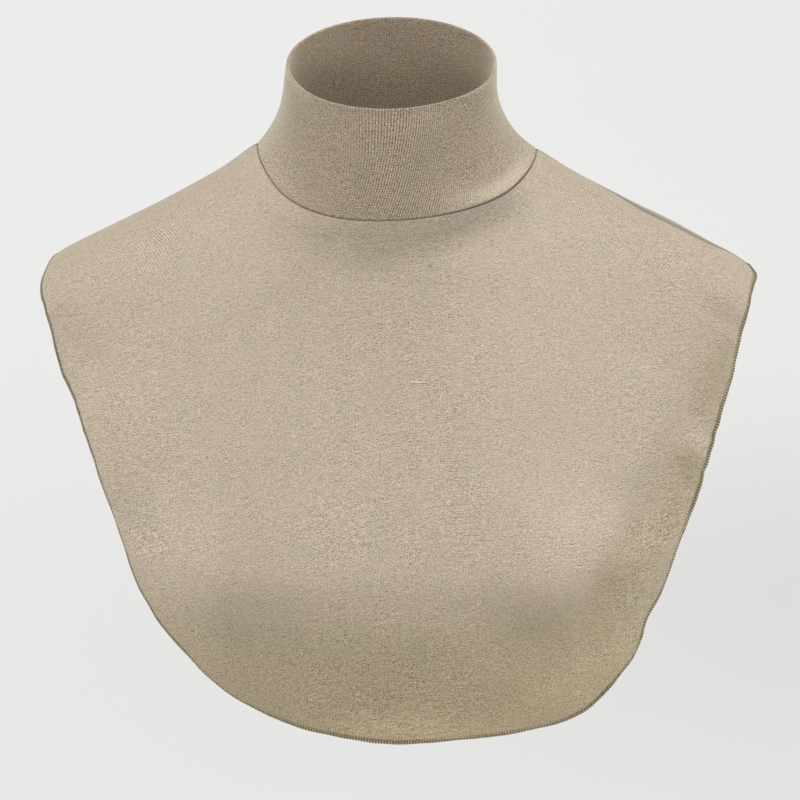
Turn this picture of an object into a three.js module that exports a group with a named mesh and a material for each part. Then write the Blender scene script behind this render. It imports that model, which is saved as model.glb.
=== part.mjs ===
// A detachable mock-neck collar in fine jersey: a folded neck band sewn to a front and a back bib,
// joined along both shoulders and finished round its whole outer edge with an overlocked hem.
// It is drawn as it is worn, filled out over the neck, shoulders and chest.
// Units are millimetres. +Z is up, the wearer faces -Y, and +X is the wearer's left.
// The origin lies midway between the two side neck points, where band and shoulder seams meet.
import * as THREE from 'three';

// Cloth and seams
const PANEL_WALL = 1.2;
const BAND_WALL = 2.0;
const GAP = 0.3;
const SEAM_GAP = 0.6;
const EDGING_RADIUS = 1.0;
const SEAM_WIDTH = 5.0;
const NECK_SEAM_THICKNESS = 1.8;
const SHOULDER_SEAM_THICKNESS = 1.5;
const SEAM_SETBACK = 3.4;

// The worn shape is a net of curves over the body. "across" is the distance from the middle line, and
// "along" is the length of cloth from the shoulder ridge, forward down the chest or, below 0, down the back.
// Height of the shoulder ridge, a little higher on the left of the view than on the right
const RIDGE = [
  { across: 0, leftHeight: 22, rightHeight: 22 },
  { across: 40, leftHeight: 17, rightHeight: 16 },
  { across: 76.5, leftHeight: 2.8, rightHeight: -0.2 },
  { across: 97, leftHeight: -10.8, rightHeight: -12.2 },
  { across: 130, leftHeight: -28.8, rightHeight: -29.3 },
  { across: 150, leftHeight: -38.6, rightHeight: -38.9 },
  { across: 175, leftHeight: -50.9, rightHeight: -52.6 },
  { across: 186, leftHeight: -57.2, rightHeight: -58.4 },
  { across: 198, leftHeight: -68, rightHeight: -67 },
];

// Where the four columns of the next table stand
const COLUMNS = { centre: 0, bust: 90, underarm: 150, tip: 195 };

// One row for each level of the body. The height there is level + follow x the ridge's height,
// and the four columns give how far behind the ridge the cloth lies, which is negative in front.
const BODY = [
  { along: -270, level: -222, follow: 0.5, centre: 74, bust: 78, underarm: 58, tip: 28 },
  { along: -220, level: -174, follow: 0.75, centre: 78, bust: 84, underarm: 62, tip: 32 },
  { along: -160, level: -115, follow: 0.95, centre: 74, bust: 84, underarm: 66, tip: 36 },
  { along: -100, level: -57, follow: 1.15, centre: 64, bust: 72, underarm: 58, tip: 34 },
  { along: -60, level: -24, follow: 1.3, centre: 50, bust: 52, underarm: 44, tip: 28 },
  { along: -30, level: -7, follow: 1.2, centre: 30, bust: 28, underarm: 25, tip: 18 },
  { along: 0, level: 0, follow: 1, centre: 0, bust: 0, underarm: 0, tip: 0 },
  { along: 30, level: -9, follow: 1.03, centre: -34, bust: -28, underarm: -24, tip: -18 },
  { along: 60, level: -29, follow: 1, centre: -63, bust: -50, underarm: -41, tip: -28 },
  { along: 100, level: -62, follow: 1, centre: -73.5, bust: -70, underarm: -54, tip: -34 },
  { along: 130, level: -88, follow: 0.87, centre: -79.5, bust: -82, underarm: -60, tip: -36 },
  { along: 160, level: -117, follow: 0.7, centre: -88, bust: -94.5, underarm: -66, tip: -38 },
  { along: 220, level: -176, follow: 0.3, centre: -110.5, bust: -118, underarm: -76, tip: -40 },
  { along: 250, level: -208, follow: 0, centre: -121.5, bust: -127, underarm: -80, tip: -40 },
  { along: 264, level: -222, follow: 0, centre: -123.5, bust: -127.5, underarm: -80, tip: -39.5 },
  { along: 280, level: -238, follow: 0, centre: -120.5, bust: -123, underarm: -78, tip: -38 },
  { along: 330, level: -286, follow: 0, centre: -109, bust: -107, underarm: -70, tip: -36 },
  { along: 370, level: -324, follow: 0, centre: -98, bust: -92, underarm: -62, tip: -34 },
];

// The front hem, from each shoulder tip (share 0) round to the middle of the chest (share 1)
const FRONT_HEM = [
  { share: 0, leftAcross: -188.3, leftAlong: 0, rightAcross: 194.5, rightAlong: 0 },
  { share: 0.03, leftAcross: -191.8, leftAlong: 9, rightAcross: 197.2, rightAlong: 8 },
  { share: 0.075, leftAcross: -195.6, leftAlong: 26, rightAcross: 195, rightAlong: 25 },
  { share: 0.12, leftAcross: -192.8, leftAlong: 47, rightAcross: 191.7, rightAlong: 52 },
  { share: 0.19, leftAcross: -185.6, leftAlong: 87, rightAcross: 184.8, rightAlong: 93 },
  { share: 0.26, leftAcross: -176.2, leftAlong: 126, rightAcross: 177.7, rightAlong: 135 },
  { share: 0.39, leftAcross: -160.3, leftAlong: 196, rightAcross: 162.9, rightAlong: 208 },
  { share: 0.52, leftAcross: -143.2, leftAlong: 258, rightAcross: 144.2, rightAlong: 268 },
  { share: 0.58, leftAcross: -134.2, leftAlong: 277, rightAcross: 134.2, rightAlong: 287 },
  { share: 0.64, leftAcross: -122.5, leftAlong: 294.5, rightAcross: 125.5, rightAlong: 310 },
  { share: 0.74, leftAcross: -95.5, leftAlong: 319.5, rightAcross: 98.5, rightAlong: 337.5 },
  { share: 0.84, leftAcross: -62, leftAlong: 340, rightAcross: 62, rightAlong: 348 },
  { share: 0.92, leftAcross: -31, leftAlong: 350.5, rightAcross: 31, rightAlong: 352 },
  { share: 1, leftAcross: -1, leftAlong: 355.5, rightAcross: -1, rightAlong: 355.5 },
];

// The shoulder seam starts at the neck on the ridge, and from there to the tip it lies this far in front
// of the ridge. Below 0 it lies behind it. The cloth beside it moves with it.
const SEAM_LINE = [
  { across: 0, left: 0, right: 0 },
  { across: 76.5, left: 0, right: 0 },
  { across: 90, left: -8, right: -8 },
  { across: 110, left: -11, right: -8 },
  { across: 120, left: -11, right: -2 },
  { across: 129, left: -11, right: 4 },
  { across: 139, left: -11, right: 7 },
  { across: 150, left: -11, right: 6 },
  { across: 160, left: -10, right: 3 },
  { across: 169, left: -9, right: -1.5 },
  { across: 178, left: -5.5, right: -3 },
  { across: 184, left: -1.5, right: 0 },
  { across: 189, left: 0, right: 3.5 },
  { across: 194, left: 0, right: 5 },
  { across: 200, left: 0, right: 5 },
];
const SEAM_REACH = 45;

// The back hem is half of a squared oval, shorter than the front
const BACK_HEM_DROP = 245;
const BACK_HEM_SQUARENESS = 2.7;
const BACK_HEM_EVENNESS = 1.2;

// Soft folds of the front, each along a curve from one point by another to a third
const FRONT_FOLDS = [
  { from: [176, 70], by: [163, 190], to: [104, 274], width: 14, height: -3.5 },
  { from: [134, 135], by: [126, 190], to: [106, 245], width: 16, height: 2.2 },
  { from: [-112, 292], by: [-92, 286], to: [-66, 292], width: 20, height: -2.4 },
  { from: [62, 290], by: [82, 281], to: [104, 290], width: 18, height: -2.4 },
  { from: [-28, 340], by: [-6, 322], to: [20, 296], width: 13, height: -2 },
  { from: [28, 338], by: [44, 322], to: [60, 306], width: 14, height: 1.8 },
];
const FOLD_STEPS = 8;

// The neckline, where the band meets the bibs
const NECK = { halfWidth: 76.5, frontDrop: 89, backDrop: 55, roundness: 0.92, frontShift: -5.5 };

// The folded top edge of the band. It tilts forward, and a little up towards +X.
const RIM = { halfWidth: 58, halfDepth: 55, behind: -14, height: 48, across: -3.5 };
const RIM_FORWARD_TILT = THREE.MathUtils.degToRad(20);
const RIM_SIDE_TILT = THREE.MathUtils.degToRad(-1);

// How far the soft rim wanders out from that oval, by the angle round from the front towards +X
const RIM_WANDER = [
  { angle: -180, out: 0 },
  { angle: -120, out: -0.5 },
  { angle: -85, out: -1.4 },
  { angle: -65, out: -1.8 },
  { angle: -40, out: -0.3 },
  { angle: 0, out: 0 },
  { angle: 25, out: -1.8 },
  { angle: 42, out: 0.6 },
  { angle: 60, out: 1.4 },
  { angle: 85, out: 0 },
  { angle: 180, out: 0 },
];
const WANDER_RISE = 5;

// The higher this is, the later the band spreads on its way down to the neckline
const BAND_FLARE = { left: 2.6, right: 3.2 };

// How finely each piece is cut up
const FRONT_STEPS = { around: 56, down: 16 };
const BACK_STEPS = { around: 42, down: 16 };
const BAND_STEPS = { around: 56, up: 6, rim: 3 };
const NECK_SEAM_STEPS = 56;
const ROLL_SIDES = 6;
const SIDE_STEP = 0.5;

// A smooth curve through stations: a cubic between each two, with slopes taken from the neighbours
function curveThrough(stations, values) {
  const last = stations.length - 1;
  const slopes = stations.map((_, i) => {
    const before = Math.max(i - 1, 0);
    const after = Math.min(i + 1, last);
    return (values[after] - values[before]) / (stations[after] - stations[before]);
  });
  return (at) => {
    let i = 0;
    while (i < last - 1 && at > stations[i + 1]) i += 1;
    const step = stations[i + 1] - stations[i];
    const t = (at - stations[i]) / step;
    const start = values[i] * (1 + 2 * t) * (1 - t) ** 2;
    const leave = slopes[i] * step * t * (1 - t) ** 2;
    const end = values[i + 1] * t * t * (3 - 2 * t);
    const arrive = slopes[i + 1] * step * t * t * (t - 1);
    return start + leave + end + arrive;
  };
}

// The same curve for a table that gives its stations only from the middle line outwards
function curveAcross(stations, rightValues, leftValues = rightValues) {
  const leftStations = stations.slice(1).map((station) => -station).reverse();
  return curveThrough([...leftStations, ...stations], [...leftValues.slice(1).reverse(), ...rightValues]);
}

const ridgeHeight = curveAcross(
  RIDGE.map((row) => row.across),
  RIDGE.map((row) => row.rightHeight),
  RIDGE.map((row) => row.leftHeight),
);

const bodyStations = BODY.map((row) => row.along);
const behindRidge = BODY.map((row) => curveAcross(
  Object.values(COLUMNS),
  Object.keys(COLUMNS).map((column) => row[column]),
));

// A point of the worn shape
function bodyPoint(across, along) {
  const ridge = ridgeHeight(across);
  const behind = curveThrough(bodyStations, behindRidge.map((curve) => curve(across)))(along);
  const height = curveThrough(bodyStations, BODY.map((row) => row.level + row.follow * ridge))(along);
  return new THREE.Vector3(across, behind, height);
}

// The outward normal of any surface that is given as a function of two values
function surfaceNormal(surface, a, b, step) {
  const alongA = surface(a + step, b).sub(surface(a - step, b));
  const alongB = surface(a, b + step).sub(surface(a, b - step));
  return alongA.cross(alongB).normalize();
}

function bodyNormal(across, along) {
  return surfaceNormal(bodyPoint, across, along, SIDE_STEP).negate();
}

// How far the folds lift or sink the front at a point
function foldHeight(across, along) {
  let total = 0;
  for (const fold of FRONT_FOLDS) {
    let nearest = Infinity;
    for (let i = 0; i <= FOLD_STEPS; i += 1) {
      const t = i / FOLD_STEPS;
      const weights = [(1 - t) ** 2, 2 * t * (1 - t), t * t];
      const x = weights[0] * fold.from[0] + weights[1] * fold.by[0] + weights[2] * fold.to[0];
      const s = weights[0] * fold.from[1] + weights[1] * fold.by[1] + weights[2] * fold.to[1];
      nearest = Math.min(nearest, Math.hypot(across - x, along - s));
    }
    total += fold.height * Math.exp(-((nearest / fold.width) ** 2));
  }
  return total;
}

const seamLine = curveAcross(
  SEAM_LINE.map((row) => row.across),
  SEAM_LINE.map((row) => row.right),
  SEAM_LINE.map((row) => row.left),
);

// How far the cloth at a point is drawn forward or back with the shoulder seam
function seamShift(across, along) {
  const near = Math.max(1 - (along / SEAM_REACH) ** 2, 0) ** 2;
  return seamLine(across) * near;
}

// A point of the cloth's outer face
function clothPoint(across, along) {
  const point = bodyPoint(across, along);
  if (along <= 0) return point;
  return point.addScaledVector(bodyNormal(across, along), foldHeight(across, along));
}

function clothNormal(across, along) {
  return surfaceNormal(clothPoint, across, along, SIDE_STEP).negate();
}

// The neckline and the hem, both as [across, along]. "turn" runs from -1 at the left shoulder over 0 at
// the middle to 1 at the right shoulder, in front or at the back.
function neckline(turn, side) {
  const angle = turn * Math.PI / 2;
  const drop = side === 'front' ? NECK.frontDrop : -NECK.backDrop;
  const shift = side === 'front' ? NECK.frontShift : 0;
  const across = NECK.halfWidth * Math.sin(angle) + shift * Math.cos(angle) ** 2;
  return [across, drop * Math.max(Math.cos(angle), 0) ** NECK.roundness];
}

const hemShares = FRONT_HEM.map((row) => row.share);
const frontHem = {
  leftAcross: curveThrough(hemShares, FRONT_HEM.map((row) => row.leftAcross)),
  leftAlong: curveThrough(hemShares, FRONT_HEM.map((row) => row.leftAlong)),
  rightAcross: curveThrough(hemShares, FRONT_HEM.map((row) => row.rightAcross)),
  rightAlong: curveThrough(hemShares, FRONT_HEM.map((row) => row.rightAlong)),
};

function hem(turn, side) {
  const share = 1 - Math.abs(turn);
  if (side === 'front') {
    return turn < 0
      ? [frontHem.leftAcross(share), frontHem.leftAlong(share)]
      : [frontHem.rightAcross(share), frontHem.rightAlong(share)];
  }
  const tip = turn < 0 ? FRONT_HEM[0].leftAcross : FRONT_HEM[0].rightAcross;
  const angle = share ** BACK_HEM_EVENNESS * Math.PI / 2;
  const power = 2 / BACK_HEM_SQUARENESS;
  const across = tip * Math.max(Math.cos(angle), 0) ** power;
  return [across, -BACK_HEM_DROP * Math.sin(angle) ** power];
}

// The stops round a bib, closer together towards the shoulders, where the cloth bends over the ridge
function turnAt(stop, steps) {
  const even = -1 + 2 * stop / steps;
  return (even - Math.cos(Math.PI * stop / steps)) / 2;
}

// A point of a bib, from the neckline (down = 0) to the hem (down = 1), short of both by a set length
function bibPlace(turn, down, side) {
  const start = neckline(turn, side);
  const end = hem(turn, side);
  const length = Math.hypot(end[0] - start[0], end[1] - start[1]);
  const first = GAP / 2 / length;
  const last = 1 - (EDGING_RADIUS + GAP) / length;
  const t = first + (last - first) * down;
  const across = start[0] + (end[0] - start[0]) * t;
  const along = start[1] + (end[1] - start[1]) * t;
  const fromSeam = side === 'front' ? Math.max(along, GAP / 2) : Math.min(along, -GAP / 2);
  return [across, fromSeam + seamShift(across, fromSeam)];
}

// Closed meshes. Triangles are turned round together where they came out facing inwards.
function closedGeometry(points, triangles) {
  let volume = 0;
  for (const [a, b, c] of triangles) {
    volume += points[a].dot(new THREE.Vector3().crossVectors(points[b], points[c]));
  }
  const outward = volume > 0 ? triangles : triangles.map(([a, b, c]) => [a, c, b]);
  const geometry = new THREE.BufferGeometry().setFromPoints(points);
  geometry.setIndex(outward.flat());
  geometry.computeVertexNormals();
  return geometry;
}

function quad(a, b, c, d) {
  return [[a, b, c], [a, c, d]];
}

// A wall between two grids of points, closed along its four edges
function wallGeometry(outer, inner) {
  const rows = outer.length;
  const columns = outer[0].length;
  const points = [...outer.flat(), ...inner.flat()];
  const at = (layer, row, column) => (layer * rows + row) * columns + column;
  const triangles = [];
  for (let row = 0; row < rows - 1; row += 1) {
    for (let column = 0; column < columns - 1; column += 1) {
      triangles.push(...quad(
        at(0, row, column), at(0, row + 1, column), at(0, row + 1, column + 1), at(0, row, column + 1),
      ));
      triangles.push(...quad(
        at(1, row, column), at(1, row, column + 1), at(1, row + 1, column + 1), at(1, row + 1, column),
      ));
    }
  }
  for (let row = 0; row < rows - 1; row += 1) {
    const end = columns - 1;
    triangles.push(...quad(at(0, row, 0), at(1, row, 0), at(1, row + 1, 0), at(0, row + 1, 0)));
    triangles.push(...quad(at(0, row, end), at(0, row + 1, end), at(1, row + 1, end), at(1, row, end)));
  }
  for (let column = 0; column < columns - 1; column += 1) {
    const end = rows - 1;
    triangles.push(...quad(
      at(0, 0, column), at(0, 0, column + 1), at(1, 0, column + 1), at(1, 0, column),
    ));
    triangles.push(...quad(
      at(0, end, column), at(1, end, column), at(1, end, column + 1), at(0, end, column + 1),
    ));
  }
  return closedGeometry(points, triangles);
}

// A skin over a row of closed sections, which runs round to its start or is capped at both ends
function skinGeometry(sections, runsRound) {
  const sides = sections[0].length;
  const points = sections.flat();
  const triangles = [];
  const spans = runsRound ? sections.length : sections.length - 1;
  for (let span = 0; span < spans; span += 1) {
    const here = span * sides;
    const next = ((span + 1) % sections.length) * sides;
    for (let side = 0; side < sides; side += 1) {
      const beside = (side + 1) % sides;
      triangles.push(...quad(here + side, here + beside, next + beside, next + side));
    }
  }
  if (!runsRound) {
    const end = (sections.length - 1) * sides;
    for (let side = 1; side < sides - 1; side += 1) {
      triangles.push([0, side + 1, side]);
      triangles.push([end, end + side, end + side + 1]);
    }
  }
  return closedGeometry(points, triangles);
}

// An oval section round a centre, in the plane of two unit directions
function ovalSection(centre, sideways, upward, width, thickness) {
  const section = [];
  for (let i = 0; i < ROLL_SIDES; i += 1) {
    const angle = (i + 0.5) / ROLL_SIDES * 2 * Math.PI;
    section.push(centre.clone()
      .addScaledVector(sideways, Math.cos(angle) * width / 2)
      .addScaledVector(upward, Math.sin(angle) * thickness / 2));
  }
  return section;
}

// Front and back bib
function bibGeometry(side, steps) {
  const outer = [];
  const inner = [];
  for (let i = 0; i <= steps.around; i += 1) {
    const turn = turnAt(i, steps.around);
    const outerRow = [];
    const innerRow = [];
    for (let j = 0; j <= steps.down; j += 1) {
      const [across, along] = bibPlace(turn, j / steps.down, side);
      const point = clothPoint(across, along);
      outerRow.push(point);
      innerRow.push(point.clone().addScaledVector(clothNormal(across, along), -PANEL_WALL));
    }
    outer.push(outerRow);
    inner.push(innerRow);
  }
  return wallGeometry(outer, inner);
}

// Neck band: an outer face from the neckline to the rim, over the fold, and down inside
function rimPoint(around) {
  const across = RIM.across + RIM.halfWidth * Math.sin(around);
  const behind = RIM.behind - RIM.halfDepth * Math.cos(around);
  const tipped = (behind - RIM.behind) * Math.tan(RIM_FORWARD_TILT);
  const leaned = -(across - RIM.across) * Math.tan(RIM_SIDE_TILT);
  return new THREE.Vector3(across, behind, RIM.height + tipped + leaned);
}

const rimWander = curveThrough(RIM_WANDER.map((row) => row.angle), RIM_WANDER.map((row) => row.out));

// "around" is 0 at the front and grows towards +X; "up" is 0 at the neckline and 1 at the rim
function bandPoint(around, up) {
  const fromFront = Math.atan2(Math.sin(around), Math.cos(around));
  const quarter = fromFront / (Math.PI / 2);
  const isFront = Math.abs(quarter) <= 1;
  const turn = isFront ? quarter : Math.sign(quarter) * (2 - Math.abs(quarter));
  const foot = bodyPoint(...neckline(turn, isFront ? 'front' : 'back'));
  const rim = rimPoint(around);
  const flare = THREE.MathUtils.lerp(BAND_FLARE.left, BAND_FLARE.right, (1 + Math.sin(around)) / 2);
  const inward = 1 - (1 - up) ** flare;
  const wander = rimWander(THREE.MathUtils.radToDeg(fromFront)) * up ** WANDER_RISE;
  return new THREE.Vector3(
    foot.x + (rim.x - foot.x) * inward + wander * Math.sin(around),
    foot.y + (rim.y - foot.y) * inward - wander * Math.cos(around),
    foot.z + (rim.z - foot.z) * up,
  );
}

function bandSection(around) {
  const outer = [];
  const inner = [];
  const lowest = GAP / 2 / RIM.height;
  for (let i = 0; i <= BAND_STEPS.up; i += 1) {
    const up = lowest + (1 - lowest) * (i / BAND_STEPS.up);
    const point = bandPoint(around, up);
    const normal = surfaceNormal(bandPoint, around, Math.min(up, 1 - SIDE_STEP / 100), SIDE_STEP / 100);
    outer.push(point);
    inner.unshift(point.clone().addScaledVector(normal, -BAND_WALL));
  }
  const top = outer[outer.length - 1];
  const normal = top.clone().sub(inner[0]).normalize();
  const upward = top.clone().sub(outer[outer.length - 2]).normalize();
  const middle = top.clone().lerp(inner[0], 0.5);
  const fold = [];
  for (let i = 1; i <= BAND_STEPS.rim; i += 1) {
    const angle = i / (BAND_STEPS.rim + 1) * Math.PI;
    fold.push(middle.clone()
      .addScaledVector(normal, Math.cos(angle) * BAND_WALL / 2)
      .addScaledVector(upward, Math.sin(angle) * BAND_WALL / 2));
  }
  return [...outer, ...fold, ...inner];
}

function bandGeometry() {
  const sections = [];
  for (let i = 0; i < BAND_STEPS.around; i += 1) {
    sections.push(bandSection(i / BAND_STEPS.around * 2 * Math.PI));
  }
  return skinGeometry(sections, true);
}

// Overlocked hem: one roll of thread round the whole outer edge
function hemEdgingGeometry() {
  const stops = [];
  for (let i = 0; i < FRONT_STEPS.around; i += 1) {
    stops.push({ side: 'front', turn: turnAt(i, FRONT_STEPS.around) });
  }
  for (let i = 0; i < BACK_STEPS.around; i += 1) {
    stops.push({ side: 'back', turn: -turnAt(i, BACK_STEPS.around) });
  }
  const sections = stops.map(({ side, turn }) => {
    const [across, unshifted] = hem(turn, side);
    const along = unshifted + seamShift(across, unshifted);
    const [insideAcross, insideAlong] = bibPlace(turn, 1, side);
    const normal = clothNormal(across, along);
    const centre = clothPoint(across, along).addScaledVector(normal, -PANEL_WALL / 2);
    const outward = clothPoint(across, along).sub(clothPoint(insideAcross, insideAlong)).normalize();
    return ovalSection(centre, outward, normal, 2 * EDGING_RADIUS, 2 * EDGING_RADIUS);
  });
  return skinGeometry(sections, true);
}

// Neckline seam: the trimmed and overlocked allowance, pressed down inside against the bibs
function neckSeamGeometry() {
  const sections = [];
  for (let i = 0; i < NECK_SEAM_STEPS; i += 1) {
    const quarter = -2 + 4 * i / NECK_SEAM_STEPS;
    const isFront = Math.abs(quarter) <= 1;
    const side = isFront ? 'front' : 'back';
    const turn = isFront ? quarter : Math.sign(quarter) * (2 - Math.abs(quarter));
    const start = neckline(turn, side);
    const end = hem(turn, side);
    const length = Math.hypot(end[0] - start[0], end[1] - start[1]);
    const outward = [(end[0] - start[0]) / length, (end[1] - start[1]) / length];
    const across = start[0] + outward[0] * SEAM_SETBACK;
    const along = start[1] + outward[1] * SEAM_SETBACK;
    const normal = bodyNormal(across, along);
    const depth = PANEL_WALL + SEAM_GAP + NECK_SEAM_THICKNESS / 2;
    const centre = bodyPoint(across, along).addScaledVector(normal, -depth);
    const sideways = bodyPoint(across + outward[0], along + outward[1]).sub(bodyPoint(across, along));
    sections.push(ovalSection(centre, sideways.normalize(), normal, SEAM_WIDTH, NECK_SEAM_THICKNESS));
  }
  return skinGeometry(sections, true);
}

// Shoulder seams: the same allowance, pressed to the back inside each shoulder. It bends where the back
// bib above it does, and stops short of the neckline seam and of the hem.
function shoulderSeamGeometry(turn) {
  const sections = [];
  for (let i = 1; i < BACK_STEPS.down; i += 1) {
    const [across] = bibPlace(turn, i / BACK_STEPS.down, 'back');
    const along = seamShift(across, -SEAM_SETBACK) - SEAM_SETBACK;
    const normal = bodyNormal(across, along);
    const depth = PANEL_WALL + SEAM_GAP + SHOULDER_SEAM_THICKNESS / 2;
    const centre = bodyPoint(across, along).addScaledVector(normal, -depth);
    const sideways = bodyPoint(across, along - 1).sub(bodyPoint(across, along)).normalize();
    sections.push(ovalSection(centre, sideways, normal, SEAM_WIDTH, SHOULDER_SEAM_THICKNESS));
  }
  return skinGeometry(sections, false);
}

// Finishes
const jersey = new THREE.MeshStandardMaterial({ color: '#b6a68e', roughness: 0.9, metalness: 0 });
const bandJersey = new THREE.MeshStandardMaterial({ color: '#a39480', roughness: 0.9, metalness: 0 });
const edgingThread = new THREE.MeshStandardMaterial({ color: '#7d6d50', roughness: 0.85, metalness: 0 });
const seamThread = new THREE.MeshStandardMaterial({ color: '#9a8a70', roughness: 0.85, metalness: 0 });

function piece(name, geometry, material) {
  const mesh = new THREE.Mesh(geometry, material);
  mesh.name = name;
  return mesh;
}

const collar = new THREE.Group();
collar.name = 'detachable_collar';
collar.add(
  piece('neck_band', bandGeometry(), bandJersey),
  piece('front_panel', bibGeometry('front', FRONT_STEPS), jersey),
  piece('back_panel', bibGeometry('back', BACK_STEPS), jersey),
  piece('hem_edging', hemEdgingGeometry(), edgingThread),
  piece('neck_seam', neckSeamGeometry(), seamThread),
  piece('shoulder_seam_left', shoulderSeamGeometry(-1), seamThread),
  piece('shoulder_seam_right', shoulderSeamGeometry(1), seamThread),
);

export default collar;
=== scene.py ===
import math

import bpy
import numpy as np
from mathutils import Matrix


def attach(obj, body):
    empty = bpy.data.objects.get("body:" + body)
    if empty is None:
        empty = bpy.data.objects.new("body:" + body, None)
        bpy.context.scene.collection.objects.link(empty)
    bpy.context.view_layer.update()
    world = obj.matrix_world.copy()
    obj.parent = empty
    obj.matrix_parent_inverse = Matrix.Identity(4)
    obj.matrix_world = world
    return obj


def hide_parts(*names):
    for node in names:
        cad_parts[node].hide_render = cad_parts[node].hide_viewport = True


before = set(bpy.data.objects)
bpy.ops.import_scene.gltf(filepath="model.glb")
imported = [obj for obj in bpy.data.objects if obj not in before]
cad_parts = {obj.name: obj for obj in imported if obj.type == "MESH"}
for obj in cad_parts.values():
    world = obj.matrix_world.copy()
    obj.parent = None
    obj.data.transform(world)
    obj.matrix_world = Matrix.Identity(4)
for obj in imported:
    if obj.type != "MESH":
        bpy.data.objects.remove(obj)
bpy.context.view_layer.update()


# Front bib.
# One layer of fine jersey, cut in a deep rounded bib that covers the shoulders and the chest.
# It is worn stretched over the body, so it is drawn as a net of curves measured along the cloth.

# Lengths are in millimetres. "across" is the distance from the middle line, and "along" is the length of
# cloth from the shoulder ridge, forward down the chest or, below 0, down the back. Left and right are as
# seen from the front, and across is below 0 on the left.
MM = 0.001

# across, height of the shoulder ridge on the left and on the right
RIDGE = [
    (0, 22, 22),
    (40, 17, 16),
    (76.5, 2.8, -0.2),
    (97, -10.8, -12.2),
    (130, -28.8, -29.3),
    (150, -38.6, -38.9),
    (175, -50.9, -52.6),
    (186, -57.2, -58.4),
    (198, -68, -67),
]

# across of the last four columns of the next table
BODY_COLUMNS = [0, 90, 150, 195]

# along, level, follow, and how far behind the ridge the cloth lies at those columns.
# The height there is level + follow x the ridge's height.
BODY = [
    (-270, -222, 0.5, 74, 78, 58, 28),
    (-220, -174, 0.75, 78, 84, 62, 32),
    (-160, -115, 0.95, 74, 84, 66, 36),
    (-100, -57, 1.15, 64, 72, 58, 34),
    (-60, -24, 1.3, 50, 52, 44, 28),
    (-30, -7, 1.2, 30, 28, 25, 18),
    (0, 0, 1, 0, 0, 0, 0),
    (30, -9, 1.03, -34, -28, -24, -18),
    (60, -29, 1, -63, -50, -41, -28),
    (100, -62, 1, -73.5, -70, -54, -34),
    (130, -88, 0.87, -79.5, -82, -60, -36),
    (160, -117, 0.7, -88, -94.5, -66, -38),
    (220, -176, 0.3, -110.5, -118, -76, -40),
    (250, -208, 0, -121.5, -127, -80, -40),
    (264, -222, 0, -123.5, -127.5, -80, -39.5),
    (280, -238, 0, -120.5, -123, -78, -38),
    (330, -286, 0, -109, -107, -70, -36),
    (370, -324, 0, -98, -92, -62, -34),
]

# share of the way from the shoulder tip to the middle, then across and along on the left and on the right
FRONT_HEM = [
    (0, -188.3, 0, 194.5, 0),
    (0.03, -191.8, 9, 197.2, 8),
    (0.075, -195.6, 26, 195, 25),
    (0.12, -192.8, 47, 191.7, 52),
    (0.19, -185.6, 87, 184.8, 93),
    (0.26, -176.2, 126, 177.7, 135),
    (0.39, -160.3, 196, 162.9, 208),
    (0.52, -143.2, 258, 144.2, 268),
    (0.58, -134.2, 277, 134.2, 287),
    (0.64, -122.5, 294.5, 125.5, 310),
    (0.74, -95.5, 319.5, 98.5, 337.5),
    (0.84, -62, 340, 62, 348),
    (0.92, -31, 350.7, 31, 352),
    (0.97, -12, 354.2, 11, 354.3),
    (1, -1, 354.9, -1, 354.9),
]
BACK_HEM_DROP = 245
BACK_HEM_SQUARENESS = 2.7
BACK_HEM_EVENNESS = 1.2

NECK_HALF_WIDTH = 76.5
NECK_FRONT_DROP = 89
NECK_BACK_DROP = 55
NECK_ROUNDNESS = 0.92
NECK_FRONT_SHIFT = -5.5

# across, then how far in front of the ridge the shoulder seam lies on the left and on the right
SEAM_LINE = [
    (0, 0, 0),
    (76.5, 0, 0),
    (90, -5, -3),
    (105, -8.5, -2.5),
    (120, -11, 4.5),
    (129, -11, 8.5),
    (139, -11, 10.5),
    (150, -11, 10.5),
    (160, -10, 10),
    (169, -9, 9),
    (178, -5.5, 6.5),
    (184, -1.5, 4.5),
    (189, 0, 4.5),
    (194, 0, 5),
    (200, 0, 5),
]
SEAM_REACH = 45

# Folds of the front: across and along of a start, a bend and an end, then width and height
FRONT_FOLDS = [
    (176, 70, 163, 190, 104, 274, 14, -3.5),
    (134, 135, 126, 190, 106, 245, 16, 2.2),
    (-112, 292, -92, 286, -66, 292, 20, -2.4),
    (62, 290, 82, 281, 104, 290, 18, -2.4),
    (-28, 340, -6, 322, 20, 296, 13, -2),
    (28, 338, 44, 322, 60, 306, 14, 1.8),
]
FOLD_STEPS = 24


def smooth_curve(stations, values, at):
    """Values on a smooth curve through the stations. values has one row for each station."""
    stations = np.asarray(stations, float)
    values = np.asarray(values, float)
    at = np.asarray(at, float)
    if values.ndim == 1:
        values = np.repeat(values[:, None], at.size, axis=1)
    last = len(stations) - 1
    before = np.maximum(np.arange(last + 1) - 1, 0)
    after = np.minimum(np.arange(last + 1) + 1, last)
    slopes = (values[after] - values[before]) / (stations[after] - stations[before])[:, None]
    i = np.clip(np.searchsorted(stations, at) - 1, 0, last - 1)
    place = np.arange(at.size)
    step = stations[i + 1] - stations[i]
    t = (at - stations[i]) / step
    start = values[i, place] * (1 + 2 * t) * (1 - t) ** 2
    leave = slopes[i, place] * step * t * (1 - t) ** 2
    end = values[i + 1, place] * t * t * (3 - 2 * t)
    arrive = slopes[i + 1, place] * step * t * t * (t - 1)
    return start + leave + end + arrive


def curve_across(stations, right, left, at):
    """The same for a table that gives its stations only from the middle line outwards."""
    both = [-s for s in stations[:0:-1]] + list(stations)
    return smooth_curve(both, list(left[:0:-1]) + list(right), at)


def column(table, i):
    return [row[i] for row in table]


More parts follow.
